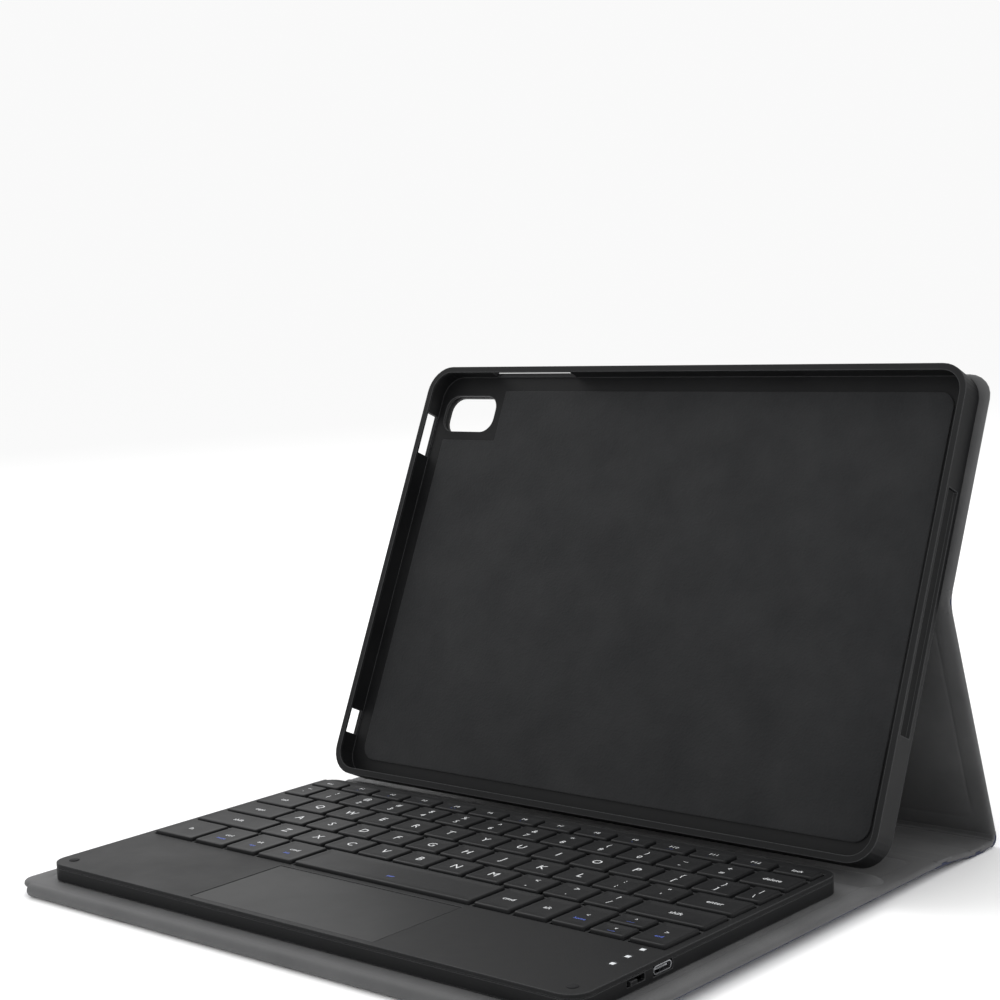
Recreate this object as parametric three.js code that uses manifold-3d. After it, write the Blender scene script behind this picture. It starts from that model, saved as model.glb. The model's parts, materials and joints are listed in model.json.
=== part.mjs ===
// Folio keyboard case for a ten-inch tablet, standing open in its typing position.
// Millimetres, +Z up, +X to the user's right, +Y away from the user.
// The folio is a chain of panels: base, spine, heel, stand and upper panel. The tray
// is glued to the upper panel. Each panel group sits on its hinge line and is turned
// about X, with local +Y along the panel and local +Z towards the lined inner side.
import * as THREE from 'three';
import Module from 'manifold-3d';
import { mergeVertices } from 'three/addons/utils/BufferGeometryUtils.js';

const wasm = await Module();
wasm.setup();

// ---- driving dimensions ----
const COVER_W = 260;            // folio width along X
const PANEL_T = 2.6;            // leather, board and lining together
const LEATHER_T = 0.5;
const LINING_T = 0.6;
const GLUE = 0.1;               // glue line between the layers
const FLAP_T = 2.3;             // closing flap and edge strip
const GAP = 0.3;                // free gap between pieces that touch
const BASE_Z = 2.6;             // underside of the base, which lies on the flap
const BASE_FRONT = -6.5;
const EDGE_HINGE_Y = -7.5;
const SPINE_HINGE_Y = 188;
const SPINE_L = 24;
const HEEL_L = 14;
const STAND_L = 96;
const HEEL_DEG = 2;             // panel directions from +Y in the typing position
const STAND_DEG = 108.5;
const TRAY_DEG = 65.2;
const TRAY_REST_Z = 8.05;       // lowest corner of the tray
const TRAY_W = 254;
const TRAY_L = 177;
const TRAY_T = 10;
const TRAY_WALL = 1.6;
const TRAY_FLOOR = 1.5;
const STRIP_L = 23.2;           // closing edge between the base and the flap
const FLAP_L = 50;
const KB_W = 240;
const KB_D = 138;
const KB_Z = BASE_Z + PANEL_T + GAP;
const KB_T = 6;
const KB_TOP = KB_Z + KB_T;
const DECK_T = 1.5;
const KEY_PITCH_X = 16.8;
const KEY_PITCH_Y = 14.8;
const KEY_GAP = 1.8;
const KEY_RISE = 1.2;           // key tops above the deck
const KEY_CLEAR = 0.35;
const KEYS_LEFT = -7 * KEY_PITCH_X;
const RAD = Math.PI / 180;

// ---- materials ----
const paint = (color, roughness, metalness = 0) =>
  new THREE.MeshStandardMaterial({ color, roughness, metalness });
const leather = paint(0x26305a, 0.55);
const board = paint(0x8a7a60, 0.9);
const lining = paint(0x54565a, 0.85);
const blackPlastic = paint(0x17181a, 0.5);
const keyPlastic = paint(0x1c1d1f, 0.55);
const padFelt = paint(0x303236, 0.95);
const steel = paint(0xb5b8bc, 0.3, 1);
const magnet = paint(0x8d9096, 0.35, 1);
const circuit = paint(0x1d4a32, 0.6);
const foil = paint(0xc9ccd0, 0.4, 0.5);
const rubber = paint(0x2a2b2d, 0.8);
const lightGuide = paint(0xe8ecef, 0.3);

// ---- shape helpers ----
const part = new THREE.Group();

function addMesh(parent, name, geometry, material) {
  const mesh = new THREE.Mesh(geometry, material);
  mesh.name = name;
  parent.add(mesh);
  return mesh;
}

// Rectangle outline; radii are for the corners low-low, high-low, high-high, low-high.
function outline(x0, x1, y0, y1, radii = [0, 0, 0, 0]) {
  const [a, b, c, d] = radii;
  const s = new THREE.Shape();
  s.moveTo(x0 + a, y0);
  s.lineTo(x1 - b, y0);
  if (b) s.absarc(x1 - b, y0 + b, b, -Math.PI / 2, 0, false);
  s.lineTo(x1, y1 - c);
  if (c) s.absarc(x1 - c, y1 - c, c, 0, Math.PI / 2, false);
  s.lineTo(x0 + d, y1);
  if (d) s.absarc(x0 + d, y1 - d, d, Math.PI / 2, Math.PI, false);
  s.lineTo(x0, y0 + a);
  if (a) s.absarc(x0 + a, y0 + a, a, Math.PI, 1.5 * Math.PI, false);
  return s;
}

function extrude(shape, z0, z1, curveSegments = 4) {
  const options = { depth: z1 - z0, bevelEnabled: false, curveSegments };
  return new THREE.ExtrudeGeometry(shape, options).translate(0, 0, z0);
}

const slab = (x0, x1, y0, y1, z0, z1, radii) => extrude(outline(x0, x1, y0, y1, radii), z0, z1);

function solidOf(geometry) {
  const bare = geometry.clone();
  bare.deleteAttribute('normal');
  bare.deleteAttribute('uv');
  const welded = mergeVertices(bare, 1e-4);
  const mesh = new wasm.Mesh({
    numProp: 3,
    vertProperties: new Float32Array(welded.attributes.position.array),
    triVerts: new Uint32Array(welded.index.array),
  });
  return new wasm.Manifold(mesh);
}

function geometryOf(solid) {
  const mesh = solid.getMesh();
  const geometry = new THREE.BufferGeometry();
  geometry.setAttribute('position', new THREE.BufferAttribute(mesh.vertProperties, 3));
  geometry.setIndex(new THREE.BufferAttribute(mesh.triVerts, 1));
  geometry.computeVertexNormals();
  return geometry;
}

const cut = (geometry, ...tools) =>
  geometryOf(tools.reduce((solid, tool) => solid.subtract(solidOf(tool)), solidOf(geometry)));
const join = (geometry, ...others) =>
  geometryOf(others.reduce((solid, other) => solid.add(solidOf(other)), solidOf(geometry)));

function hingeGroup(y, z, degrees) {
  const group = new THREE.Group();
  group.position.set(0, y, z);
  group.rotation.x = degrees * RAD;
  part.add(group);
  return group;
}

// Leather, board and lining of one panel between two distances from its hinge line.
// The leather may reach past the other layers, to cover a crease.
function panel(group, name, from, to, options = {}) {
  const { t = PANEL_T, radii, inset = 3.5, halfWidth = COVER_W / 2 } = options;
  const { reach = 0, withBoard = true, windows = [] } = options;
  const open = (geometry) => (windows.length ? cut(geometry, ...windows) : geometry);
  const low = -t / 2;
  const high = t / 2;
  addMesh(group, `${name}_leather`,
    open(slab(-halfWidth, halfWidth, from, to + reach, low, low + LEATHER_T, radii)), leather);
  const boardHigh = withBoard ? high - LINING_T - GLUE : low + LEATHER_T;
  if (withBoard) {
    addMesh(group, `${name}_board`,
      open(slab(-halfWidth + 3, halfWidth - 3, from + inset, to - inset, low + LEATHER_T + GLUE, boardHigh)), board);
  }
  addMesh(group, `${name}_lining`,
    open(slab(-halfWidth, halfWidth, from, to, boardHigh + GLUE, high, radii)), lining);
}

// ---- hinge lines of the folio, worked out as a chain in the YZ plane ----
const along = (point, length, degrees) => [
  point[0] + length * Math.cos(degrees * RAD),
  point[1] + length * Math.sin(degrees * RAD),
];
const spineDeg = -Math.asin(BASE_Z / SPINE_L) / RAD;
const spineHinge = [SPINE_HINGE_Y, BASE_Z + PANEL_T / 2];
const heelHinge = along(spineHinge, SPINE_L, spineDeg);
const standHinge = along(heelHinge, HEEL_L, HEEL_DEG);
const ridgeHinge = along(standHinge, STAND_L, STAND_DEG);
const edgeHinge = [EDGE_HINGE_Y, BASE_Z - 0.15];

// ---- base, spine, heel and stand ----
const CREASE = 1.6;             // panel ends stand this far back from a square crease
const BASE_MID = BASE_Z + PANEL_T / 2;
const REAR_PAD_FRONT = KB_D + GAP;
const base = hingeGroup(0, BASE_MID, 0);
addMesh(base, 'base_leather',
  slab(-COVER_W / 2, COVER_W / 2, BASE_FRONT, SPINE_HINGE_Y - CREASE, -PANEL_T / 2, -PANEL_T / 2 + LEATHER_T, [6, 6, 0, 0]), leather);
const magnetPocket = slab(-60.3, 60.3, 118 - GAP, 126 + GAP, -1, 1);
addMesh(base, 'base_board',
  cut(slab(-COVER_W / 2 + 3, COVER_W / 2 - 3, BASE_FRONT + 2.5, KB_D - 1,
    -PANEL_T / 2 + LEATHER_T + GLUE, PANEL_T / 2 - LINING_T - GLUE), magnetPocket), board);
addMesh(base, 'base_magnet_bar', slab(-60, 60, 118, 126, -0.65, 0.55), magnet);
addMesh(base, 'base_lining',
  slab(-COVER_W / 2, COVER_W / 2, BASE_FRONT, KB_D, PANEL_T / 2 - LINING_T, PANEL_T / 2, [6, 6, 0, 0]), lining);

// Padding behind the keyboard, with the low ridge that the tray's lower edge stands on.
const padProfile = new THREE.Shape();
const RIDGE_FRONT = 146.5;
const RIDGE_BACK = 155.5;
const RIDGE_TOP = 2.4;
padProfile.moveTo(REAR_PAD_FRONT, -PANEL_T / 2 + LEATHER_T + GLUE);
padProfile.lineTo(SPINE_HINGE_Y - CREASE, -PANEL_T / 2 + LEATHER_T + GLUE);
padProfile.lineTo(SPINE_HINGE_Y - CREASE, PANEL_T / 2);
padProfile.lineTo(RIDGE_BACK + 2.5, PANEL_T / 2);
padProfile.quadraticCurveTo(RIDGE_BACK, PANEL_T / 2 + RIDGE_TOP, (RIDGE_FRONT + RIDGE_BACK) / 2, PANEL_T / 2 + RIDGE_TOP);
padProfile.quadraticCurveTo(RIDGE_FRONT, PANEL_T / 2 + RIDGE_TOP, RIDGE_FRONT - 2.5, PANEL_T / 2);
padProfile.lineTo(REAR_PAD_FRONT, PANEL_T / 2);
const alongX = new THREE.Matrix4().makeBasis(
  new THREE.Vector3(0, 1, 0), new THREE.Vector3(0, 0, 1), new THREE.Vector3(1, 0, 0));
addMesh(base, 'base_rear_padding',
  extrude(padProfile, -COVER_W / 2 + 0.2, COVER_W / 2 - 0.2).applyMatrix4(alongX), lining);

const spine = hingeGroup(...spineHinge, spineDeg);
panel(spine, 'spine', CREASE, SPINE_L - CREASE, { inset: 2.5 });
const heel = hingeGroup(...heelHinge, HEEL_DEG);
panel(heel, 'heel', CREASE, HEEL_L - 2.4, { withBoard: false });
const stand = hingeGroup(...standHinge, STAND_DEG);
panel(stand, 'stand', 2.4, STAND_L - 1);

// ---- upper panel and tray ----
const upper = hingeGroup(...ridgeHinge, TRAY_DEG);
const TRAY_BACK = PANEL_T / 2 + GAP;
const sinTray = Math.sin(TRAY_DEG * RAD);
const cosTray = Math.cos(TRAY_DEG * RAD);
const trayBelow = (ridgeHinge[1] + TRAY_BACK * cosTray - TRAY_REST_Z) / sinTray;
const trayAbove = TRAY_L - trayBelow;
const WINDOW_X = -108;
const windowAt = (grow) => slab(WINDOW_X - 14 - grow, WINDOW_X + 14 + grow,
  trayAbove - 26 - grow, trayAbove - 10 + grow, -5, 6, Array(4).fill(6 + grow));
panel(upper, 'upper', 1, trayAbove, { radii: [0, 0, 9, 9], windows: [windowAt(0.8)] });

function trayShell() {
  const w = TRAY_W / 2;
  const top = TRAY_BACK + TRAY_T;
  const floor = TRAY_BACK + TRAY_FLOOR;
  const outer = slab(-w, w, -trayBelow, trayAbove, TRAY_BACK, top, Array(4).fill(11));
  const bay = slab(-w + TRAY_WALL, w - TRAY_WALL, -trayBelow + TRAY_WALL, trayAbove - TRAY_WALL,
    floor, top - 1, Array(4).fill(9.4));
  const mouth = slab(-w + TRAY_WALL + 0.9, w - TRAY_WALL - 0.9, -trayBelow + TRAY_WALL + 0.9,
    trayAbove - TRAY_WALL - 0.9, floor, top + 1, Array(4).fill(8.5));
  const slot = (x0, x1, y0, y1) => slab(x0, x1, y0, y1, floor + 0.7, top - 1.4);
  const middle = (trayAbove - trayBelow) / 2;
  return cut(outer, bay, mouth, windowAt(0),
    slot(w - 5, w + 5, middle - 43.5, middle + 43.5),       // port and speakers
    slot(-w - 5, -w + 5, trayAbove - 38, trayAbove - 20),   // power button
    slot(-w - 5, -w + 5, -trayBelow + 17, -trayBelow + 27), // headphone socket
    slot(-96, -54, trayAbove - 5, trayAbove + 5));          // volume buttons
}
addMesh(upper, 'tray_shell', trayShell(), blackPlastic);
addMesh(upper, 'tray_felt_pad',
  cut(slab(-TRAY_W / 2 + 8, TRAY_W / 2 - 8, -trayBelow + 8, trayAbove - 8,
    TRAY_BACK + TRAY_FLOOR + GLUE, TRAY_BACK + TRAY_FLOOR + GLUE + 0.6, Array(4).fill(6)),
  slab(-TRAY_W / 2, WINDOW_X + 18, trayAbove - 30, trayAbove, 0, 9)), padFelt);

// ---- closing edge strip and flap, folded under the base ----
const strip = hingeGroup(edgeHinge[0], edgeHinge[1] - 0.15 - FLAP_T / 2, 180);
const stripEnd = 3.4 + STRIP_L;
const flapHinge = stripEnd + CREASE;
// Seen from its turned group the strip runs along local -Y, with its lining below.
const under = (from, to) => [-to, -from];
panel(strip, 'edge_strip', ...under(3.4, stripEnd),
  { t: FLAP_T, inset: 2, halfWidth: COVER_W / 2 - 7, reach: 3.2 });
const flap = hingeGroup(edgeHinge[0] + flapHinge, edgeHinge[1] - 0.15 - FLAP_T / 2, 180);
panel(flap, 'flap', ...under(CREASE, FLAP_L), { t: FLAP_T, radii: [12, 12, 0, 0], halfWidth: COVER_W / 2 - 7 });

// ---- keyboard housing ----
const keyboard = new THREE.Group();
part.add(keyboard);
const half = KB_W / 2;
const DECK_LOW = KB_TOP - DECK_T;
const TOUCH_X = [-45, 39];
const TOUCH_Y = [2.2, 42.2];
const USB_Y = 40;
const SWITCH_Y = 27;
const INDICATOR_Y = [27.9, 35.1, 42.3];
const INDICATOR_X = 111;

// Key rows from front to back: front edge, depth and widths in key pitches.
const ROW_FRONT = 45.4;
const letterRow = (n) => ROW_FRONT + 20 + n * KEY_PITCH_Y;
const keyDepth = KEY_PITCH_Y - KEY_GAP;
const SINGLES = (n) => Array(n).fill(1);
const rows = [
  { y: ROW_FRONT, depth: 18.2, widths: [1.34, 1, 1, 1.12, 4.94, 1, 0.9, 0.9, 0.9, 0.9],
    names: ['fn', 'ctrl', 'alt_left', 'cmd_left', 'space', 'cmd_right', 'alt_right', 'left', 'updown', 'right'] },
  { y: letterRow(0), depth: keyDepth, widths: [2.095, ...SINGLES(10), 1.905], names: ['shift_left', 'bottom_row', 'shift_right'] },
  { y: letterRow(1), depth: keyDepth, widths: [1.6, ...SINGLES(11), 1.4], names: ['caps', 'home_row', 'enter'] },
  { y: letterRow(2), depth: keyDepth, widths: [1.31, ...SINGLES(12), 0.69], names: ['tab', 'upper_row', 'backslash'] },
  { y: letterRow(3), depth: keyDepth, widths: [0.81, ...SINGLES(12), 1.19], names: ['grave', 'number_row', 'backspace'] },
  { y: letterRow(4), depth: 8, widths: SINGLES(14), names: ['escape', 'function_row', 'lock'] },
];

// Every key as a box, with the name of the piece that it belongs to.
function layOutKeys() {
  const keys = [];
  for (const row of rows) {
    let x = KEYS_LEFT;
    row.widths.forEach((width, i) => {
      const last = row.widths.length - 1;
      const single = row.names.length > 3;
      const name = single ? row.names[i] : row.names[i === 0 ? 0 : i === last ? 2 : 1];
      const box = {
        x0: x + KEY_GAP / 2, x1: x + width * KEY_PITCH_X - KEY_GAP / 2, y0: row.y, y1: row.y + row.depth,
      };
      if (name === 'updown') {
        const middle = (box.y0 + box.y1) / 2;
        keys.push({ ...box, y1: middle - 0.6, name: 'down' }, { ...box, y0: middle + 0.6, name: 'up' });
      } else {
        keys.push({ ...box, name });
      }
      x += width * KEY_PITCH_X;
    });
  }
  return keys;
}
const keys = layOutKeys();

function deckGeometry() {
  const holes = [
    ...keys.map((k) => [k.x0 - KEY_CLEAR, k.x1 + KEY_CLEAR, k.y0 - KEY_CLEAR, k.y1 + KEY_CLEAR]),
    [TOUCH_X[0] - GAP, TOUCH_X[1] + GAP, TOUCH_Y[0] - GAP, TOUCH_Y[1] + GAP],
    ...INDICATOR_Y.map((y) => [INDICATOR_X - 1.1, INDICATOR_X + 1.1, y - 1.1, y + 1.1]),
  ];
  return cut(slab(-half, half, 0, KB_D, DECK_LOW, KB_TOP, Array(4).fill(7)),
    ...holes.map((hole) => slab(...hole, DECK_LOW - 1, KB_TOP + 1)));
}
addMesh(keyboard, 'keyboard_deck', deckGeometry(), blackPlastic);

const SHELL_WALL = 1.6;
const SHELL_FLOOR = 1;
const floorTop = KB_Z + SHELL_FLOOR;
addMesh(keyboard, 'keyboard_bottom_shell', cut(
  slab(-half, half, 0, KB_D, KB_Z, DECK_LOW - 0.1, Array(4).fill(7)),
  slab(-half + SHELL_WALL, half - SHELL_WALL, SHELL_WALL, KB_D - SHELL_WALL, floorTop, KB_TOP, Array(4).fill(5.4)),
  slab(half - 4, half + 1, USB_Y - 4.7, USB_Y + 4.7, 6.9, DECK_LOW),
  slab(half - 4, half + 1, SWITCH_Y - 4.2, SWITCH_Y + 4.2, 7.4, 9.4),
), blackPlastic);
addMesh(keyboard, 'key_membrane', slab(-117, 117, 46, 134.5, floorTop + 0.1, floorTop + 0.7), rubber);
addMesh(keyboard, 'circuit_board', slab(46, 110, 4, 43, floorTop + 0.1, floorTop + 0.9), circuit);
addMesh(keyboard, 'battery_cell', slab(-112, -54, 5, 42, floorTop + 0.1, floorTop + 3.1, Array(4).fill(1.5)), foil);
addMesh(keyboard, 'keyboard_magnet_bar', slab(-60, 60, 135.1, 136.2, floorTop + 0.1, floorTop + 3), magnet);

function usbSocket() {
  const x0 = 112.2;
  const x1 = half - 0.2;
  const body = (grow, a, b) => extrude(
    outline(USB_Y - 4.45 + grow, USB_Y + 4.45 - grow, 7.1 + grow, 9.75 - grow, Array(4).fill(1.3 - grow)), a, b, 4,
  ).applyMatrix4(new THREE.Matrix4().makeBasis(
    new THREE.Vector3(0, 1, 0), new THREE.Vector3(0, 0, 1), new THREE.Vector3(1, 0, 0)));
  const shell = cut(body(0, x0, x1), body(0.35, x0 + 1, x1 + 1));
  return join(shell, slab(x0 + 0.5, x1 - 0.8, USB_Y - 3.1, USB_Y + 3.1, 8.15, 8.7));
}
addMesh(keyboard, 'usb_socket', usbSocket(), steel);
addMesh(keyboard, 'power_switch_knob', join(
  slab(half - 3.4, half - 1.9, SWITCH_Y - 3.6, SWITCH_Y + 0.9, 7.1, 9.6),
  slab(half - 2, half + 0.7, SWITCH_Y - 3.2, SWITCH_Y - 0.2, 7.7, 9.1),
), blackPlastic);
addMesh(keyboard, 'touchpad_plate', join(
  slab(...TOUCH_X, ...TOUCH_Y, KB_TOP - 1.2, KB_TOP - 0.1),
  slab(TOUCH_X[0] + 4, TOUCH_X[1] - 4, TOUCH_Y[0] + 4, TOUCH_Y[1] - 4, KB_TOP - 2.2, KB_TOP - 1.1),
), blackPlastic);
addMesh(keyboard, 'indicator_light_guide', join(
  slab(INDICATOR_X - 0.8, INDICATOR_X + 0.8, 26.5, 43.5, 8.6, DECK_LOW - 0.2),
  ...INDICATOR_Y.map((y) => slab(INDICATOR_X - 0.8, INDICATOR_X + 0.8, y - 0.8, y + 0.8, 9, KB_TOP - 0.1)),
), lightGuide);

// ---- keys: caps that stand above the deck on a web below it ----
const WEB_LOW = KB_Z + 3.4;
const WEB_HIGH = DECK_LOW - GAP;
const WEB_MARGIN = 0.5;

// A keycap: a box whose top is drawn in a little on every side.
function keycap(k) {
  const low = WEB_LOW + 0.2;
  const high = KB_TOP + KEY_RISE;
  const cap = new THREE.BoxGeometry(k.x1 - k.x0, k.y1 - k.y0, high - low);
  const corner = cap.attributes.position;
  const DRAW_IN = 0.45;
  for (let i = 0; i < corner.count; i += 1) {
    if (corner.getZ(i) > 0) {
      corner.setX(i, corner.getX(i) - Math.sign(corner.getX(i)) * DRAW_IN);
      corner.setY(i, corner.getY(i) - Math.sign(corner.getY(i)) * DRAW_IN);
    }
  }
  return cap.translate((k.x0 + k.x1) / 2, (k.y0 + k.y1) / 2, (low + high) / 2);
}

for (const name of new Set(keys.map((k) => k.name))) {
  const caps = keys.filter((k) => k.name === name);
  const x0 = Math.min(...caps.map((k) => k.x0)) - WEB_MARGIN;
  const x1 = Math.max(...caps.map((k) => k.x1)) + WEB_MARGIN;
  const web = slab(x0, x1, caps[0].y0 - WEB_MARGIN, caps[0].y1 + WEB_MARGIN, WEB_LOW, WEB_HIGH);
  addMesh(keyboard, `key_${name}`, join(web, ...caps.map(keycap)), keyPlastic);
}

// ---- origin: centre of the footprint, on the surface that the case stands on ----
part.updateMatrixWorld(true);
const bounds = new THREE.Box3().setFromObject(part, true);
const centre = bounds.getCenter(new THREE.Vector3());
part.position.set(-centre.x, -centre.y, -bounds.min.z);
part.updateMatrixWorld(true);

export default part;
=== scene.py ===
import json
import math

import bmesh
import bpy
import numpy as np
from mathutils import Matrix, Vector


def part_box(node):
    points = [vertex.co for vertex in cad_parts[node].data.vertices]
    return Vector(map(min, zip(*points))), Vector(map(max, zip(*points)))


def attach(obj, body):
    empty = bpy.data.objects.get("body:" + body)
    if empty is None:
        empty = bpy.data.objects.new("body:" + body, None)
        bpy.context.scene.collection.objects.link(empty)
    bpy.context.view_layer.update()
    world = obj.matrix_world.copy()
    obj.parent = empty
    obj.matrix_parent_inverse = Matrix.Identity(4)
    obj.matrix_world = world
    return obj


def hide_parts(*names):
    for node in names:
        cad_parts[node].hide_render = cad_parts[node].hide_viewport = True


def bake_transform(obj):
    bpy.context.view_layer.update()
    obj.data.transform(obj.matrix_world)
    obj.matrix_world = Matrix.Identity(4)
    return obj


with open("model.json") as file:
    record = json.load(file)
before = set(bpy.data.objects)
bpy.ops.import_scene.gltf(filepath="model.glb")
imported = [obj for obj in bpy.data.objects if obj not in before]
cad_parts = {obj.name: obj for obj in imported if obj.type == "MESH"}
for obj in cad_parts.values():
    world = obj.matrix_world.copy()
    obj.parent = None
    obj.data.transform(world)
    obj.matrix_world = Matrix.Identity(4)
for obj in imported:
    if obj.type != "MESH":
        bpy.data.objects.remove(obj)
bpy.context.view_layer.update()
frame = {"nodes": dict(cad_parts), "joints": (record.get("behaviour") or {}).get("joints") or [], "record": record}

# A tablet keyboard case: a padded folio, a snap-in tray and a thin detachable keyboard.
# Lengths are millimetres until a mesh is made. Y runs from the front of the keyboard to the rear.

MM = 0.001

# ---- places and sizes, read from the frame ----
JOINT_AT = {j["name"]: np.array(j["pos_m"]) / MM for j in frame["joints"] if "pos_m" in j}
SPINE_AT = JOINT_AT["case_fold_spine"][1:]
HEEL_AT = JOINT_AT["case_fold_heel"][1:]
STAND_AT = JOINT_AT["case_fold_stand"][1:]
RIDGE_AT = JOINT_AT["case_fold"][1:]
FLAP_AT = JOINT_AT["flap_fold"][1:]


def box_mm(node):
    """A built part's low and high corners, in millimetres."""
    low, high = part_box(node)
    return np.array(low) / MM, np.array(high) / MM


HALF_WIDTH = box_mm("base_leather")[1][0]
FLAP_HALF_WIDTH = box_mm("flap_leather")[1][0]
BASE_FRONT = box_mm("base_leather")[0][1]
BASE_BACK = box_mm("base_leather")[1][1]
DECK_LOW, DECK_HIGH = box_mm("keyboard_deck")
PANEL = 1.3             # half the thickness of a boarded panel
THIN_PANEL = 1.15       # half the thickness of the edge strip and the flap
TRAY_DEG = 65.2         # lean of the tray and the panel behind it
UPPER_LENGTH = 82.87    # the panel behind the tray, from the ridge to its top edge


def direction(start, end):
    """The angle of the line between two (along, up) places, in degrees."""
    return math.degrees(math.atan2(end[1] - start[1], end[0] - start[0]))


SPINE_DEG = direction(SPINE_AT, HEEL_AT)
HEEL_DEG = direction(HEEL_AT, STAND_AT)
STAND_DEG = direction(STAND_AT, RIDGE_AT)


# ---- mesh helpers ----
def make_piece(name, points, faces, material, smooth=True):
    """A closed shell from points in millimetres; its faces are turned to point outwards."""
    mesh = bpy.data.meshes.new(name)
    mesh.from_pydata((np.asarray(points).reshape(-1, 3) * MM).tolist(), [], faces)
    work = bmesh.new()
    work.from_mesh(mesh)
    bmesh.ops.recalc_face_normals(work, faces=work.faces)
    work.to_mesh(mesh)
    work.free()
    mesh.polygons.foreach_set("use_smooth", [smooth] * len(mesh.polygons))
    mesh.materials.append(material)
    piece = bpy.data.objects.new(name, mesh)
    bpy.context.scene.collection.objects.link(piece)
    return piece


def ring_faces(rings, count):
    """Quads between neighbouring closed rings, and one face over each end."""
    ring, place = np.meshgrid(np.arange(rings - 1), np.arange(count), indexing="ij")
    after = (place + 1) % count
    corners = [ring * count + place, ring * count + after,
               (ring + 1) * count + after, (ring + 1) * count + place]
    quads = np.stack(corners, -1).reshape(-1, 4)
    low_end = np.arange(count)[::-1]
    high_end = np.arange(count) + (rings - 1) * count
    return quads.tolist() + [low_end.tolist(), high_end.tolist()]


PRESSED_INSET = 4.0     # a line drawn in further than this is a pressed line, with its own round corners
PRESSED_RADIUS = 5.0
LEAST_RADIUS = 0.12     # the sharpest corner near a panel's edge


def rounded_loop(x0, x1, y0, y1, radii, inset, steps=6):
    """A rectangle drawn in by inset, with a quarter circle at each corner, as (points, 2)."""
    least = PRESSED_RADIUS if inset > PRESSED_INSET else LEAST_RADIUS
    sweep = np.linspace(0, math.pi / 2, steps + 1)
    corners = ((x0, y0, 1, 1, math.pi), (x1, y0, -1, 1, 1.5 * math.pi),
               (x1, y1, -1, -1, 0), (x0, y1, 1, -1, math.pi / 2))
    loop = []
    for (x, y, into_x, into_y, turn), radius in zip(corners, radii):
        small = max(radius - inset, least)
        centre = np.array([x + into_x * (inset + small), y + into_y * (inset + small)])
        loop.append(centre + small * np.stack([np.cos(turn + sweep), np.sin(turn + sweep)], -1))
    return np.concatenate(loop)


def placed(at, degrees, side=1):
    """From a panel's own (across, along, outward) to the case's frame; side is -1 when it lies face down."""
    turn = math.radians(degrees)

    def place(points):
        across, along, lift = np.moveaxis(np.asarray(points, float), -1, 0)
        lift = lift * side
        return np.stack([across, at[0] + along * math.cos(turn) - lift * math.sin(turn),
                         at[1] + along * math.sin(turn) + lift * math.cos(turn)], -1)
    return place


def carried_profile(rect, radii, profile, steps=6):
    """A profile of (inset, height) pairs carried around a rounded rectangle, as (rings, points, 3)."""
    rings = []
    for inset, height in profile:
        loop = rounded_loop(*rect, radii, inset, steps)
        rings.append(np.column_stack([loop, np.full(len(loop), height)]))
    return np.array(rings)


def finish(piece, body, slot, *nodes):
    """The piece rides on its body and stands for the built parts named; slot is not used."""
    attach(piece, body)
    if nodes:
        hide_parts(*nodes)
    return piece


# ---- shader node groups ----
def new_group(name, inputs, outputs):
    """A node group with its sockets made: the group, its input node and its output node."""
    group = bpy.data.node_groups.new(name, "ShaderNodeTree")
    for label, kind, default in inputs:
        socket = group.interface.new_socket(label, in_out="INPUT", socket_type=kind)
        socket.default_value = default
    for label, kind in outputs:
        group.interface.new_socket(label, in_out="OUTPUT", socket_type=kind)
    return group, group.nodes.new("NodeGroupInput"), group.nodes.new("NodeGroupOutput")


def add_node(tree, kind, links=None, **settings):
    """A node with its settings, and each of its inputs linked to a socket or set to a value."""
    node = tree.nodes.new(kind)
    for key, value in settings.items():
        setattr(node, key, value)
    for key, value in (links or {}).items():
        if isinstance(value, bpy.types.NodeSocket):
            tree.links.new(value, node.inputs[key])
        else:
            node.inputs[key].default_value = value
    return node


FLOAT, COLOR, VECTOR = "NodeSocketFloat", "NodeSocketColor", "NodeSocketVector"


def fine_grain_group():
    """Pebbled relief: the distance to round cells under a millimetre wide, times a slower noise."""
    group, given, out = new_group("FineGrain", [("Vector", VECTOR, (0, 0, 0)), ("Scale", FLOAT, 1800.0)],
                                  [("Height", FLOAT)])
    place = given.outputs["Vector"]
    cells = add_node(group, "ShaderNodeTexVoronoi", {"Vector": place, "Scale": given.outputs["Scale"]},
                     feature="SMOOTH_F1")
    slow = add_node(group, "ShaderNodeTexNoise", {"Vector": place, "Scale": 420.0, "Detail": 4.0})
    both = add_node(group, "ShaderNodeMath", {0: cells.outputs["Distance"], 1: slow.outputs["Fac"]},
                    operation="MULTIPLY")
    group.links.new(both.outputs[0], out.inputs["Height"])
    return group


MOTTLE_SCALE = 40.0


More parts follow.
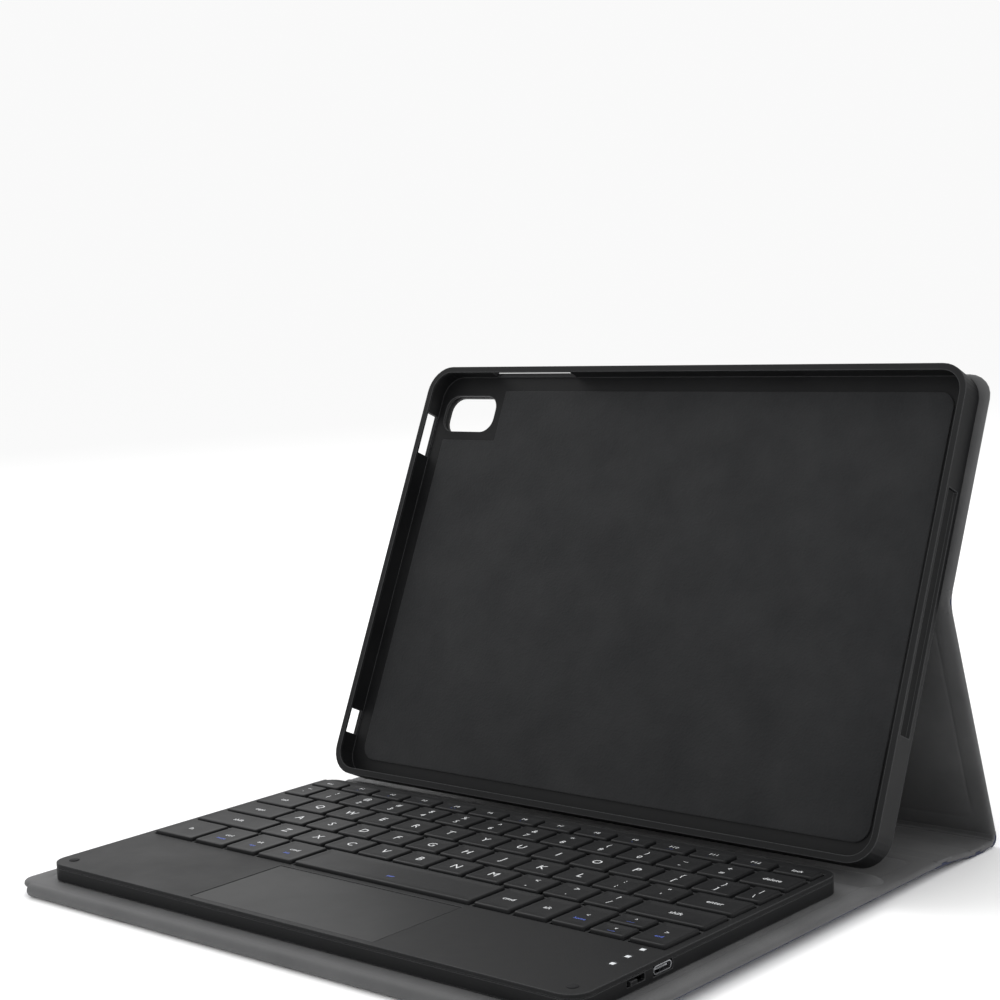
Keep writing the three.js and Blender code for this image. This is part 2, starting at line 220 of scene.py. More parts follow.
def mottle_group():
    """Two colours mixed by soft clouds, and a roughness that follows the same clouds."""
    group, given, out = new_group(
        "Mottle", [("Vector", VECTOR, (0, 0, 0)), ("Scale", FLOAT, MOTTLE_SCALE),
                   ("First", COLOR, (0, 0, 0, 1)), ("Second", COLOR, (1, 1, 1, 1)),
                   ("Low", FLOAT, 0.4), ("High", FLOAT, 0.6)],
        [("Color", COLOR), ("Roughness", FLOAT)])
    clouds = add_node(group, "ShaderNodeTexNoise",
                      {"Vector": given.outputs["Vector"], "Scale": given.outputs["Scale"],
                       "Detail": 6.0, "Roughness": 0.62})
    tone = add_node(group, "ShaderNodeMapRange",
                    {"Value": clouds.outputs["Fac"], "From Min": 0.32, "From Max": 0.68})
    mix = add_node(group, "ShaderNodeMix", {"Factor": tone.outputs[0]}, data_type="RGBA")
    group.links.new(given.outputs["First"], mix.inputs[6])
    group.links.new(given.outputs["Second"], mix.inputs[7])
    rough = add_node(group, "ShaderNodeMapRange",
                     {"Value": clouds.outputs["Fac"], "From Min": 0.3, "From Max": 0.7,
                      "To Min": given.outputs["Low"], "To Max": given.outputs["High"]})
    group.links.new(mix.outputs[2], out.inputs["Color"])
    group.links.new(rough.outputs[0], out.inputs["Roughness"])
    return group


def weave_group():
    """Microfibre relief: two crossed sets of fine threads multiplied, plus the noise of a short nap."""
    group, given, out = new_group("Weave", [("Vector", VECTOR, (0, 0, 0)), ("Scale", FLOAT, 700.0)],
                                  [("Height", FLOAT)])
    place = given.outputs["Vector"]
    threads = []
    for axis in ("X", "Y"):
        wave = add_node(group, "ShaderNodeTexWave",
                        {"Vector": place, "Scale": given.outputs["Scale"], "Distortion": 7.0, "Detail": 3.0},
                        bands_direction=axis)
        threads.append(wave.outputs["Fac"])
    crossed = add_node(group, "ShaderNodeMath", {0: threads[0], 1: threads[1]}, operation="MULTIPLY")
    nap = add_node(group, "ShaderNodeTexNoise", {"Vector": place, "Scale": 1500.0, "Detail": 3.0})
    height = add_node(group, "ShaderNodeMath", {0: crossed.outputs[0], 1: nap.outputs["Fac"]},
                      operation="ADD")
    group.links.new(height.outputs[0], out.inputs["Height"])
    return group


def edge_wear_and_highlight_group():
    """Lighter edges, partly rubbed wear and partly a painted highlight: the second colour shows where the normal,
    averaged over Radius, turns away from the face's own.
    """
    group, given, out = new_group("EdgeWear", [("Base", COLOR, (0, 0, 0, 1)), ("Worn", COLOR, (1, 1, 1, 1)),
                                               ("Radius", FLOAT, 0.0005)], [("Color", COLOR)])
    averaged = add_node(group, "ShaderNodeBevel", {"Radius": given.outputs["Radius"]}, samples=6)
    shape = add_node(group, "ShaderNodeNewGeometry")
    agree = add_node(group, "ShaderNodeVectorMath", {0: averaged.outputs[0], 1: shape.outputs["Normal"]},
                     operation="DOT_PRODUCT")
    edge = add_node(group, "ShaderNodeMapRange",
                    {"Value": agree.outputs["Value"], "From Min": 0.995, "From Max": 0.9})
    mix = add_node(group, "ShaderNodeMix", {"Factor": edge.outputs[0]}, data_type="RGBA")
    group.links.new(given.outputs["Base"], mix.inputs[6])
    group.links.new(given.outputs["Worn"], mix.inputs[7])
    group.links.new(mix.outputs[2], out.inputs["Color"])
    return group


GRAIN = fine_grain_group()
MOTTLE = mottle_group()
WEAVE = weave_group()
WEAR_AND_HIGHLIGHT = edge_wear_and_highlight_group()


RELIEF_DEPTH = 0.0002


def surface(name, first, second, rough, relief, relief_scale, bump, wear_and_highlight=None, **settings):
    """A Principled material: mottled colour and roughness, edges lightened by wear and a painted highlight, and a
    relief from GRAIN or WEAVE.

    first and second are the two tones, rough the lowest and highest roughness, bump the relief's strength.
    """
    material = bpy.data.materials.new(name)
    material.use_nodes = True
    tree = material.node_tree
    shader = tree.nodes["Principled BSDF"]
    place = add_node(tree, "ShaderNodeTexCoord").outputs["Object"]
    clouds = add_node(tree, "ShaderNodeGroup", node_tree=MOTTLE)
    tree.links.new(place, clouds.inputs["Vector"])
    clouds.inputs["Scale"].default_value = MOTTLE_SCALE
    clouds.inputs["First"].default_value = (*first, 1)
    clouds.inputs["Second"].default_value = (*second, 1)
    clouds.inputs["Low"].default_value = rough[0]
    clouds.inputs["High"].default_value = rough[1]
    color = clouds.outputs["Color"]
    # the edge colour is lighter than the tones: part rubbed wear, part a painted highlight along the edges
    if wear_and_highlight:
        wear_and_highlight_node = add_node(tree, "ShaderNodeGroup", node_tree=WEAR_AND_HIGHLIGHT)
        tree.links.new(color, wear_and_highlight_node.inputs["Base"])
        wear_and_highlight_node.inputs["Worn"].default_value = (*wear_and_highlight, 1)
        color = wear_and_highlight_node.outputs["Color"]
    tree.links.new(color, shader.inputs["Base Color"])
    tree.links.new(clouds.outputs["Roughness"], shader.inputs["Roughness"])
    grain = add_node(tree, "ShaderNodeGroup", node_tree=relief)
    tree.links.new(place, grain.inputs["Vector"])
    grain.inputs["Scale"].default_value = relief_scale
    raised = add_node(tree, "ShaderNodeBump",
                      {"Height": grain.outputs["Height"], "Strength": bump, "Distance": RELIEF_DEPTH})
    tree.links.new(raised.outputs["Normal"], shader.inputs["Normal"])
    for key, value in settings.items():
        shader.inputs[key.replace("_", " ")].default_value = value
    return material


# The edge colours given below are lighter than the tones: part rubbed wear, part a painted highlight on the edges
# of the leather, lining, housing and keys.
NAVY = surface(
    "navy_leather", (0.0095, 0.0145, 0.041), (0.0145, 0.0215, 0.058), (0.46, 0.6), GRAIN, 1500.0, 0.5,
    wear_and_highlight=(0.034, 0.045, 0.1), Specular_IOR_Level=0.3)
LINING = surface(
    "grey_lining", (0.062, 0.0625, 0.064), (0.088, 0.0885, 0.09), (0.55, 0.72), WEAVE, 1900.0, 0.22,
    wear_and_highlight=(0.16, 0.16, 0.165), Specular_IOR_Level=0.25, Sheen_Weight=0.12, Sheen_Roughness=0.5)
HOUSING = surface(
    "black_plastic", (0.0055, 0.0057, 0.0062), (0.0085, 0.0087, 0.0092), (0.5, 0.6), GRAIN, 3200.0, 0.25,
    wear_and_highlight=(0.06, 0.061, 0.063), Specular_IOR_Level=0.16)
KEYCAP = surface(
    "key_plastic", (0.006, 0.0062, 0.0068), (0.009, 0.0092, 0.0098), (0.46, 0.56), GRAIN, 4200.0, 0.18,
    wear_and_highlight=(0.03, 0.031, 0.033), Specular_IOR_Level=0.17)
PAD_SURFACE = surface(
    "touchpad_surface", (0.006, 0.0062, 0.0067), (0.0075, 0.0077, 0.0082), (0.42, 0.48), GRAIN, 5200.0, 0.1,
    Specular_IOR_Level=0.17)
FELT = surface(
    "felt", (0.013, 0.0135, 0.0145), (0.021, 0.0215, 0.0225), (0.86, 0.97), GRAIN, 1100.0, 0.7,
    Specular_IOR_Level=0.1, Sheen_Weight=0.15)
BOARD = surface(
    "grey_board", (0.3, 0.27, 0.22), (0.4, 0.36, 0.3), (0.75, 0.9), WEAVE, 900.0, 0.4)
STEEL = surface(
    "steel", (0.5, 0.51, 0.53), (0.62, 0.63, 0.65), (0.25, 0.35), GRAIN, 2500.0, 0.1, Metallic=1.0)
MAGNET = surface(
    "magnet", (0.4, 0.4, 0.42), (0.52, 0.52, 0.54), (0.2, 0.3), GRAIN, 2500.0, 0.08, Metallic=1.0)
FOIL = surface(
    "foil", (0.6, 0.61, 0.63), (0.74, 0.75, 0.76), (0.3, 0.42), GRAIN, 600.0, 0.4, Metallic=0.9)
CIRCUIT = surface(
    "circuit", (0.015, 0.07, 0.03), (0.03, 0.12, 0.055), (0.3, 0.4), GRAIN, 900.0, 0.3)
MEMBRANE = surface(
    "membrane_rubber", (0.01, 0.01, 0.011), (0.016, 0.016, 0.017), (0.7, 0.85), GRAIN, 1500.0, 0.3,
    Specular_IOR_Level=0.15)
GUIDE = surface(
    "light_guide", (0.75, 0.78, 0.8), (0.9, 0.92, 0.94), (0.15, 0.25), GRAIN, 3000.0, 0.05)
WHITE_INK = surface(
    "white_ink", (0.62, 0.63, 0.64), (0.74, 0.75, 0.76), (0.5, 0.6), GRAIN, 4000.0, 0.1)
BLUE_INK = surface(
    "blue_ink", (0.07, 0.12, 0.5), (0.1, 0.16, 0.6), (0.5, 0.6), GRAIN, 4000.0, 0.1)
SLOT_FINISH = {
    "navy_leather": NAVY, "grey_board": BOARD, "grey_lining": LINING, "black_plastic": HOUSING,
    "key_plastic": KEYCAP, "felt": FELT, "steel": STEEL, "magnet": MAGNET, "foil": FOIL,
    "circuit": CIRCUIT, "membrane_rubber": MEMBRANE, "light_guide": GUIDE,
}


# ---- folio panels ----
def leather_profile(half):
    """Outer face with a pressed line round it, then the turned edge, as (inset, height) pairs."""
    pressed_line = [(14, -half), (9.4, -half), (8.8, -half + 0.1), (8.2, -half + 0.55),
                    (7.5, -half + 0.55), (6.9, -half + 0.05), (6.2, -half - 0.1), (5.2, -half)]
    turned_edge = [(2.2, -half), (1.1, -half + 0.09), (0.4, -half + 0.4), (0.05, -half + 0.85),
                   (0, 0), (0.4, 0.1)]
    return pressed_line + turned_edge


def lining_profile(half):
    """Inner face with a border band, wrapped over the panel's edge."""
    border_band = [(13, half), (8.2, half), (7.6, half - 0.06), (7.1, half - 0.2), (6.6, half - 0.06),
                   (6.0, half + 0.02), (2.4, half + 0.02)]
    wrapped_edge = [(1.2, half - 0.06), (0.5, half - 0.3), (0.05, half - 0.75), (-0.05, 0.1),
                    (-0.05, -0.35), (0.3, -0.5)]
    return border_band + wrapped_edge


def narrow(profile, limit):
    """The same profile for a panel too narrow for its pressed line: only the part near the edge."""
    edge = [pair for pair in profile if pair[0] <= limit]
    return [(limit + 0.5, edge[0][1])] + edge


NARROW_PANEL = 34       # a panel shorter than this has no pressed line
EDGE_BAND = 2.5         # the part of a profile that a narrow panel keeps


def folio_panel(name, body, place, rect, radii, half):
    """Leather outside and lining inside, each a profile carried round the panel's outline."""
    outer, inner = leather_profile(half), lining_profile(half)
    if rect[3] - rect[2] < NARROW_PANEL:
        outer, inner = narrow(outer, EDGE_BAND), narrow(inner, EDGE_BAND)
    rings = place(carried_profile(rect, radii, outer))
    cover = make_piece(f"{name}_cover", rings, ring_faces(*rings.shape[:2]), NAVY)
    finish(cover, body, "navy_leather", f"{name}_leather")
    rings = place(carried_profile(rect, radii, inner))
    inside = make_piece(f"{name}_inside", rings, ring_faces(*rings.shape[:2]), LINING)
    finish(inside, body, "grey_lining", f"{name}_lining")


CREASE = 1.6            # from a hinge line to the edge of the panel beside it
WIDE_CREASE = 2.4       # the same at the hinge under the stand
RIDGE_CREASE = 1.0      # the same at the ridge
SQUARE = [0.8] * 4
ROUND_FRONT = [6, 6, 0.8, 0.8]
ROUND_TOP = [0.8, 0.8, 9, 9]
ROUND_FLAP = [0.8, 0.8, 12, 12]
base_place = placed((0, SPINE_AT[1]), 0)
spine_length = math.dist(SPINE_AT, HEEL_AT)
heel_length = math.dist(HEEL_AT, STAND_AT)
stand_length = math.dist(STAND_AT, RIDGE_AT)
wide = (-HALF_WIDTH, HALF_WIDTH)
folio_panel("base", "base", base_place, (*wide, BASE_FRONT, BASE_BACK), ROUND_FRONT, PANEL)
folio_panel("spine", "spine", placed(SPINE_AT, SPINE_DEG),
            (*wide, CREASE, spine_length - CREASE), SQUARE, PANEL)
folio_panel("heel", "heel", placed(HEEL_AT, HEEL_DEG),
            (*wide, CREASE, heel_length - WIDE_CREASE), SQUARE, PANEL)
folio_panel("stand", "stand", placed(STAND_AT, STAND_DEG),
            (*wide, WIDE_CREASE, stand_length - RIDGE_CREASE), SQUARE, PANEL)
strip_low, strip_high = box_mm("edge_strip_lining")
flap_low, flap_high = box_mm("flap_lining")
strip_mid = FLAP_AT[1]
narrower = (-FLAP_HALF_WIDTH, FLAP_HALF_WIDTH)
folio_panel("edge_strip", "edge_strip", placed((0, strip_mid), 0, -1),
            (*narrower, strip_low[1], strip_high[1]), SQUARE, THIN_PANEL)
folio_panel("flap", "flap", placed((0, strip_mid), 0, -1),
            (*narrower, flap_low[1], flap_high[1]), ROUND_FLAP, THIN_PANEL)

WINDOW_SIDES = (-122.8, -93.2)
WINDOW_FROM_TOP = (26.8, 9.2)   # the window's lower and upper edge, measured down from the panel's top
WINDOW_RADII = [6.8] * 4


def upper_panel():
    """The panel behind the tray, with the camera window cut through both layers."""
    place = placed(RIDGE_AT, TRAY_DEG)
    rect = (*wide, RIDGE_CREASE, UPPER_LENGTH)
    window = (*WINDOW_SIDES, *(UPPER_LENGTH - down for down in WINDOW_FROM_TOP))
    layers = (("cover", leather_profile(PANEL), NAVY, "navy_leather", "upper_leather"),
              ("inside", lining_profile(PANEL), LINING, "grey_lining", "upper_lining"))
    cutter_rings = place(carried_profile(window, WINDOW_RADII, [(0, -6), (0, 6)]))
    cutter = make_piece("window_cutter", cutter_rings, ring_faces(*cutter_rings.shape[:2]), NAVY)
    for label, profile, material, slot, node in layers:
        rings = place(carried_profile(rect, ROUND_TOP, profile))
        piece = make_piece(f"upper_{label}", rings, ring_faces(*rings.shape[:2]), material)
        hole = piece.modifiers.new("window", "BOOLEAN")
        hole.operation = "DIFFERENCE"
        hole.object = cutter
        hole.solver = "EXACT"
        apply_modifiers(piece)
        finish(piece, "upper", slot, node)
    bpy.data.objects.remove(cutter)
    window_trim(place, window)


def window_trim(place, window):
    """A thin moulded ring round the camera window: a rounded section carried round the opening."""
    section = [(0, -PANEL - 0.08), (-0.9, -PANEL - 0.12), (-1.5, -PANEL - 0.02), (-1.5, -PANEL + 0.3),
               (0, -PANEL + 0.3), (0, PANEL - 0.1), (0.7, PANEL - 0.1), (0.7, -PANEL + 0.1),
               (0, -PANEL - 0.08)]
    rings = place(carried_profile(window, WINDOW_RADII, section))
    faces = ring_faces(*rings.shape[:2])[:-2]
    trim = make_piece("window_trim", rings, faces, HOUSING)
    work = bmesh.new()
    work.from_mesh(trim.data)
    bmesh.ops.remove_doubles(work, verts=work.verts, dist=1e-7)
    bmesh.ops.recalc_face_normals(work, faces=work.faces)
    work.to_mesh(trim.data)
    work.free()
    finish(trim, "upper", "black_plastic")


def apply_modifiers(piece):
    """The mesh as its modifiers leave it, with none left on the piece."""
    ready = bpy.context.evaluated_depsgraph_get()
    mesh = bpy.data.meshes.new_from_object(piece.evaluated_get(ready))
    piece.modifiers.clear()
    piece.data = mesh


upper_panel()


# ---- creases ----
def crease(name, at, before_deg, after_deg, reach, half_width, half, side=1):
    """A bent strip: its middle is a quadratic curve through the hinge line, between two panels."""
    back, ahead = reach
    turn_in, turn_out = math.radians(before_deg), math.radians(after_deg)
    start = np.array(at) - back * np.array([math.cos(turn_in), math.sin(turn_in)])
    end = np.array(at) + ahead * np.array([math.cos(turn_out), math.sin(turn_out)])
    t = np.linspace(0, 1, 17)[:, None]
    middle = (1 - t) ** 2 * start + 2 * t * (1 - t) * np.array(at) + t ** 2 * end
    tangent = 2 * (1 - t) * (np.array(at) - start) + 2 * t * (end - np.array(at))
    tangent /= np.linalg.norm(tangent, axis=1)[:, None]
    normal = np.stack([-tangent[:, 1], tangent[:, 0]], -1) * side
    add_crease_layers(name, middle, normal, half_width, half)


def add_crease_layers(name, middle, normal, half_width, half):
    """Leather on the outside of a bend and lining on the inside, each a closed strip."""
    layers = (("cover", -half + 0.02, 0.05, NAVY, "navy_leather"),
              ("inside", -0.05, half - 0.02, LINING, "grey_lining"))
    for label, low, high, material, slot in layers:
        section = rounded_loop(-half_width, half_width, low, high, [0.5] * 4, 0, 4)
        rings = np.empty((len(middle), len(section), 3))
        rings[..., 0] = section[:, 0]
        rings[..., 1:] = middle[:, None] + normal[:, None] * section[:, 1][None, :, None]
        piece = make_piece(f"{name}_{label}", rings, ring_faces(*rings.shape[:2]), material)
        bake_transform(piece)


CREASE_HALF = HALF_WIDTH - 0.2
FLAP_CREASE_HALF = FLAP_HALF_WIDTH - 0.2
crease("spine_crease", SPINE_AT, 0, SPINE_DEG, (5, 5), CREASE_HALF, PANEL)
crease("heel_crease", HEEL_AT, SPINE_DEG, HEEL_DEG, (5, 5), CREASE_HALF, PANEL)
crease("stand_crease", STAND_AT, HEEL_DEG, STAND_DEG, (3, 3.6), CREASE_HALF, PANEL)
crease("ridge_crease", RIDGE_AT, STAND_DEG, TRAY_DEG, (4, 4), CREASE_HALF, PANEL)
crease("flap_crease", FLAP_AT, 0, 0, (2.6, 2.6), FLAP_CREASE_HALF, THIN_PANEL, -1)

ROLL_SET_BACK = 1.0     # the roll's axis behind the base's front edge
ROLL_LEAD = 4.0         # how far the roll's ends run flat under the panels


def front_roll():
    """The soft roll at the front edge: half a turn from the base's edge to the strip folded under it."""
    top = SPINE_AT[1]
    radius = (top - strip_mid) / 2
    centre = np.array([BASE_FRONT + ROLL_SET_BACK, (top + strip_mid) / 2])
    turn = np.linspace(0, math.pi, 19)
    middle = centre + radius * np.stack([-np.sin(turn), np.cos(turn)], -1)
    normal = np.stack([-np.sin(turn), np.cos(turn)], -1)
    lead = np.array([[ROLL_LEAD, 0]])
    middle = np.concatenate([middle[:1] + lead, middle, middle[-1:] + lead])
    normal = np.concatenate([normal[:1], normal, normal[-1:]])
    add_crease_layers("front_roll", middle, normal, FLAP_HALF_WIDTH, THIN_PANEL)


front_roll()


SINK = 0.3              # how far the flat part of the foam lies under the lining
RIDGE_FROM_FRONT = 12.7
RIDGE_REACH = 7.2       # from the foam ridge's middle to where it meets the flat
PAD_INSET = 0.6
PAD_ROUNDING = 2.0
PAD_FOOT = 0.3


def rear_padding():
    """Foam behind the keyboard: a flat pad with a low ridge, a smooth bump from front to rear."""
    low, high = box_mm("base_rear_padding")
    along = np.linspace(low[1], high[1], 70)
    flat = SPINE_AT[1] + PANEL - SINK
    ridge_mid = low[1] + RIDGE_FROM_FRONT
    bump = np.clip(1 - np.abs(along - ridge_mid) / RIDGE_REACH, 0, 1)
    height = flat + (high[2] - flat) * (bump * bump * (3 - 2 * bump)) ** 0.8
    across = np.linspace(low[0] + PAD_INSET, high[0] - PAD_INSET, 40)
    edge = np.clip(np.minimum(across - across[0], across[-1] - across) / PAD_ROUNDING, 0, 1)
    soft = np.sqrt(1 - (1 - edge) ** 2)
    foot = low[2] + PAD_FOOT
    top = foot + (height[:, None] - foot) * soft[None, :].clip(0.15)
    rings = np.empty((len(along), 2 * len(across), 3))
    rings[..., 0] = np.concatenate([across, across[::-1]])
    rings[..., 1] = along[:, None]
    rings[..., 2] = np.concatenate([top, np.full_like(top, foot)], axis=1)
    pad = make_piece("rear_pad", rings, ring_faces(*rings.shape[:2]), LINING)
    finish(pad, "base", "grey_lining", "base_rear_padding")


rear_padding()


# ---- parts that keep their built shape, with softened edges ----
SHARP_DEG = 30          # edges that turn more than this are softened


def softened(node, body, material, slot, width, segments=2):
    """A merged copy of a built part with a small bevel on its sharp edges."""
    mesh = frame["nodes"][node].data.copy()
    work = bmesh.new()
    work.from_mesh(mesh)
    bmesh.ops.remove_doubles(work, verts=work.verts, dist=1e-6)
    bmesh.ops.dissolve_limit(work, angle_limit=math.radians(1), verts=work.verts, edges=work.edges)
    work.to_mesh(mesh)
    work.free()
    mesh.materials.clear()
    mesh.materials.append(material)
    piece = bpy.data.objects.new(f"{node}_finished", mesh)
    bpy.context.scene.collection.objects.link(piece)
    bevel = piece.modifiers.new("softened_edges", "BEVEL")
    bevel.width = width * MM
    bevel.segments = segments
    bevel.limit_method = "ANGLE"
    bevel.angle_limit = math.radians(SHARP_DEG)
    bevel.harden_normals = False
    mesh.polygons.foreach_set("use_smooth", [False] * len(mesh.polygons))
    return finish(piece, body, slot, node)


softened("tray_shell", "upper", HOUSING, "black_plastic", 0.3)
softened("tray_felt_pad", "upper", FELT, "felt", 0.2)
softened("keyboard_deck", "keyboard", HOUSING, "black_plastic", 0.4, 3)
softened("keyboard_bottom_shell", "keyboard", HOUSING, "black_plastic", 0.9, 3)
softened("touchpad_plate", "touchpad", PAD_SURFACE, "black_plastic", 0.15)
softened("usb_socket", "keyboard", STEEL, "steel", 0.1)
softened("power_switch_knob", "power_switch", HOUSING, "black_plastic", 0.25)


# ---- keycaps and legends ----
LEGENDS = {
    "escape": ["esc"], "function_row": [f"F{n}" for n in range(1, 13)], "lock": ["lock"],
    "grave": ["`"], "number_row": list("1234567890-="), "backspace": ["delete"],
    "tab": ["tab"], "upper_row": list("QWERTYUIOP[]"), "backslash": ["\\"],
    "caps": ["caps"], "home_row": list("ASDFGHJKL;'"), "enter": ["enter"],
    "shift_left": ["shift"], "bottom_row": list("ZXCVBNM,./"), "shift_right": ["shift"],
    "fn": ["fn"], "ctrl": ["ctrl"], "alt_left": ["alt"], "cmd_left": ["cmd"], "space": [""],
    "cmd_right": ["cmd"], "alt_right": ["alt"], "left": ["<"], "down": ["v"], "up": ["^"], "right": [">"],
}
SHIFTED = {
    "grave": "~", "number_row": "!@#$%^&*()_+", "upper_row": " " * 10 + "{}", "backslash": "|",
    "home_row": " " * 9 + ":\"", "bottom_row": " " * 7 + "<>?",
}
SECOND_USE = {
    "ctrl": ["menu"], "alt_left": ["opt"], "cmd_left": ["link"], "space": ["pair"],
    "left": ["home"], "right": ["end"], "up": ["pgup"], "down": ["pgdn"],
    "function_row": ["dim", "lit", "apps", "find", "prev", "play",
                     "next", "mute", "vol-", "vol+", "copy", "paste"],
}
CAP_PROFILE = [(0.35, -3.2), (0.02, -2.6), (0.02, -0.5), (0.14, -0.2), (0.45, -0.02), (0.9, 0.0),
               (1.7, -0.1), (2.8, -0.18), (3.6, -0.2)]
CAP_RADII = [1.1] * 4
CAP_REACH = 0.42        # the dish reaches in by at most this share of the cap's short side
KEY_GAP = 1.8
WEB_MARGIN = 0.5
LEGEND_DROP = 0.165     # legends lie this far under the cap's rim, just above its dish
LEGEND_RAISE = 0.02
TALL_CAP = 9.0          # caps shorter than this, front to rear, have small legends


def cap_boxes(node, count):
    """The outline of each cap on a key part: equal shares of its width, less the gap between caps."""
    low, high = box_mm(node)
    x0, x1 = low[0] + WEB_MARGIN, high[0] - WEB_MARGIN
    pitch = (x1 - x0 + KEY_GAP) / count
    starts = x0 + pitch * np.arange(count)
    return [(x, x + pitch - KEY_GAP, low[1] + WEB_MARGIN, high[1] - WEB_MARGIN) for x in starts], high[2]


def text_mesh(text, size, x, y, z):
    """The points and faces of a raised line of text, in millimetres, centred on a point."""
    curve = bpy.data.curves.new("legend", "FONT")
    curve.body = text
    curve.size = size
    curve.extrude = LEGEND_RAISE
    curve.resolution_u = 2
    curve.align_x = "CENTER"
    curve.align_y = "CENTER"
    holder = bpy.data.objects.new("legend", curve)
    bpy.context.scene.collection.objects.link(holder)
    bpy.context.view_layer.update()
    mesh = bpy.data.meshes.new_from_object(holder.evaluated_get(bpy.context.evaluated_depsgraph_get()))
    points = np.array([v.co for v in mesh.vertices]).reshape(-1, 3) + (x, y, z)
    faces = [list(p.vertices) for p in mesh.polygons]
    bpy.data.objects.remove(holder)
    return points, faces


def joined_piece(name, parts, material):
    """One piece from several (points, faces) shells."""
    points, faces, first = [], [], 0
    for part_points, part_faces in parts:
        points.append(part_points)
        faces += [[i + first for i in face] for face in part_faces]
        first += len(part_points)
    return make_piece(name, np.concatenate(points), faces, material)


def legend_parts(name, boxes, top):
    """White and blue legends for one key part, laid just above the dished caps."""
    white, blue = [], []
    z = top - LEGEND_DROP
    for i, (x0, x1, y0, y1) in enumerate(boxes):
        x, y = (x0 + x1) / 2, (y0 + y1) / 2
        tall = y1 - y0 > TALL_CAP
        text = LEGENDS[name][i]
        shifted = SHIFTED.get(name, "")[i:i + 1].strip()
        second = SECOND_USE.get(name, [""] * len(boxes))[i]
        size = 2.9 if tall else 2.5
        if tall and len(text) == 1:
            size = 5.0
        lift = 0
        if shifted:
            white.append(text_mesh(shifted, 3.6, x, y + 2.6, z))
            size, lift = 3.8, -2.4
        elif second:
            lift = 1.2 if tall else 0.9
            size = min(size, 2.7)
        if text:
            white.append(text_mesh(text, size, x, y + lift, z))
        if second:
            down = 2.8 if tall else 1.9
            blue.append(text_mesh(second, 2.0 if tall else 1.6, x, y - down, z))
    return (("white", white, WHITE_INK), ("blue", blue, BLUE_INK))


for key_name, key_legends in LEGENDS.items():
    key_node = f"key_{key_name}"
    boxes, key_top = cap_boxes(key_node, len(key_legends))
    shells = []
    for cap in boxes:
        small_side = min(cap[1] - cap[0], cap[3] - cap[2])
        profile = [(min(inset, small_side * CAP_REACH), lift + key_top) for inset, lift in CAP_PROFILE]
        rings = carried_profile(cap, CAP_RADII, profile, 4)
        shells.append((rings.reshape(-1, 3), ring_faces(*rings.shape[:2])))
    finish(joined_piece(f"{key_node}_caps", shells, KEYCAP), key_node, "key_plastic", key_node)
    for label, texts, ink in legend_parts(key_name, boxes, key_top):
        if texts:
            finish(joined_piece(f"{key_node}_{label}_legend", texts, ink), key_node, "key_plastic")


BUMPER_INSET = 6.5
BUMPER_RADIUS = np.array([1.9, 1.85, 1.6, 1.2, 0.5])
BUMPER_HEIGHT = np.array([-0.2, 0.12, 0.26, 0.32, 0.34])


def corner_bumpers():
    """Low round bumpers near the keyboard's front corners: a shallow dome turned about its axis."""
    radius = BUMPER_RADIUS[:, None]
    turn = np.linspace(0, 2 * math.pi, 32, endpoint=False)
    y = DECK_LOW[1] + BUMPER_INSET
    for label, x in (("left", DECK_LOW[0] + BUMPER_INSET), ("right", DECK_HIGH[0] - BUMPER_INSET)):
        rings = np.stack([x + radius * np.cos(turn), y + radius * np.sin(turn),
                          DECK_HIGH[2] + np.repeat(BUMPER_HEIGHT[:, None], len(turn), 1)], -1)
        bumper = make_piece(f"bumper_{label}", rings, ring_faces(*rings.shape[:2]), MEMBRANE)
        finish(bumper, "keyboard", "membrane_rubber")


corner_bumpers()

# ---- finishes on the parts that stay as built ----
NODE_SLOT = {row["node"]: row["material_slot"] for row in frame["record"]["subparts"]}
for node_name, node_object in frame["nodes"].items():
    node_object.data.materials.clear()
    node_object.data.materials.append(SLOT_FINISH[NODE_SLOT[node_name]])


# ---- floor, light and camera ----
FLOOR_REACH = 60000
FLOOR_DROP = 0.05


def floor():
    """A pale level sheet, wide enough to reach the horizon in every view."""
    run = np.linspace(-FLOOR_REACH, FLOOR_REACH, 3)
    grid = np.stack(np.meshgrid(run, run, indexing="ij"), -1).reshape(-1, 2)
    points = np.column_stack([grid, np.full(len(grid), -FLOOR_DROP)])
    first = (0, 1, 3, 4)
    faces = [[i, i + 3, i + 4, i + 1] for i in first]
    material = bpy.data.materials.new("floor")
    material.use_nodes = True
    shader = material.node_tree.nodes["Principled BSDF"]
    shader.inputs["Specular IOR Level"].default_value = 0
    shader.inputs["Base Color"].default_value = (1, 1, 1, 1)
    shader.inputs["Roughness"].default_value = 1
    make_piece("floor", points, faces, material, smooth=False)


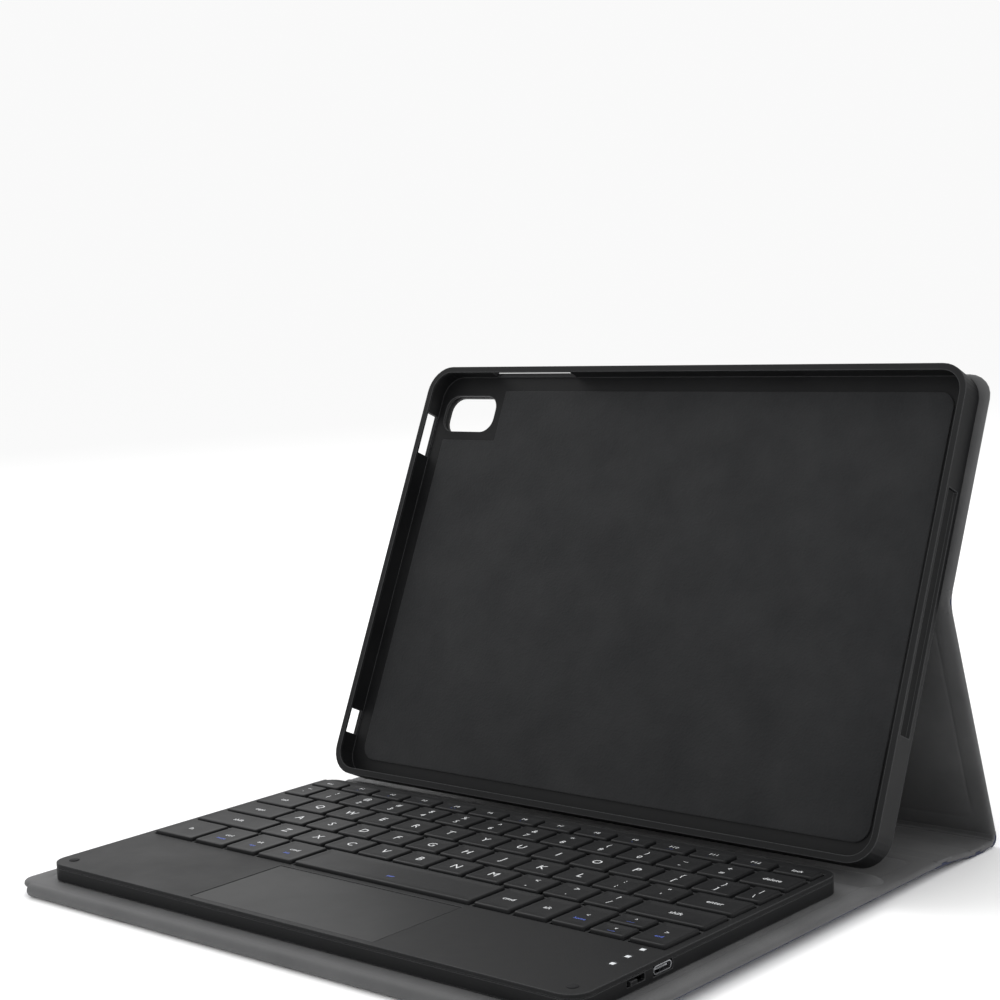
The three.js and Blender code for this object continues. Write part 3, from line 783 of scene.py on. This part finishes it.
def area_light(name, place, target, size, power):
    """A square light at a place in metres, turned to face its target."""
    light = bpy.data.lights.new(name, "AREA")
    light.energy = power
    light.size = size
    holder = bpy.data.objects.new(name, light)
    holder.location = place
    holder.rotation_euler = (Vector(target) - Vector(place)).to_track_quat("-Z", "Y").to_euler()
    bpy.context.scene.collection.objects.link(holder)


CAMERA_AT = (0.4601, -0.52061, 0.2079)
CAMERA_AZIMUTH = 41.356
CAMERA_DOWN = 6.215
CAMERA_ROLL = -2.603
CAMERA_LENS = 71.97
CAMERA_FILM = 36
SURROUND_LIGHT = 0.95


def camera():
    """At the case's front right, low, looking a little down."""
    azimuth, down, roll = map(math.radians, (CAMERA_AZIMUTH, CAMERA_DOWN, CAMERA_ROLL))
    forward = Vector((-math.sin(azimuth) * math.cos(down), math.cos(azimuth) * math.cos(down),
                      -math.sin(down)))
    level = Vector((math.cos(azimuth), math.sin(azimuth), 0))
    upright = level.cross(forward)
    right = level * math.cos(roll) + upright * math.sin(roll)
    up = right.cross(forward)
    lens = bpy.data.cameras.new("camera")
    lens.lens = CAMERA_LENS
    lens.sensor_width = CAMERA_FILM
    holder = bpy.data.objects.new("camera", lens)
    turn = Matrix((right, up, -forward)).transposed().to_4x4()
    holder.matrix_world = Matrix.Translation(Vector(CAMERA_AT)) @ turn
    bpy.context.scene.collection.objects.link(holder)
    bpy.context.scene.camera = holder


floor()
area_light("key_left", place=(-0.9, 0.3, 1.1), target=(0, 0, 0.02), size=1.0, power=9)
area_light("fill_right", place=(1.2, -0.7, 0.9), target=(0, 0, 0.05), size=1.2, power=3)
area_light("front_low", place=(0.1, -1.3, 0.5), target=(0, 0, 0.03), size=0.9, power=1.5)
camera()
world = bpy.data.worlds.new("studio")
world.use_nodes = True
world.node_tree.nodes["Background"].inputs["Color"].default_value = (1, 1, 1, 1)
world.node_tree.nodes["Background"].inputs["Strength"].default_value = SURROUND_LIGHT
bpy.context.scene.world = world
bpy.context.scene.view_settings.view_transform = "Standard"
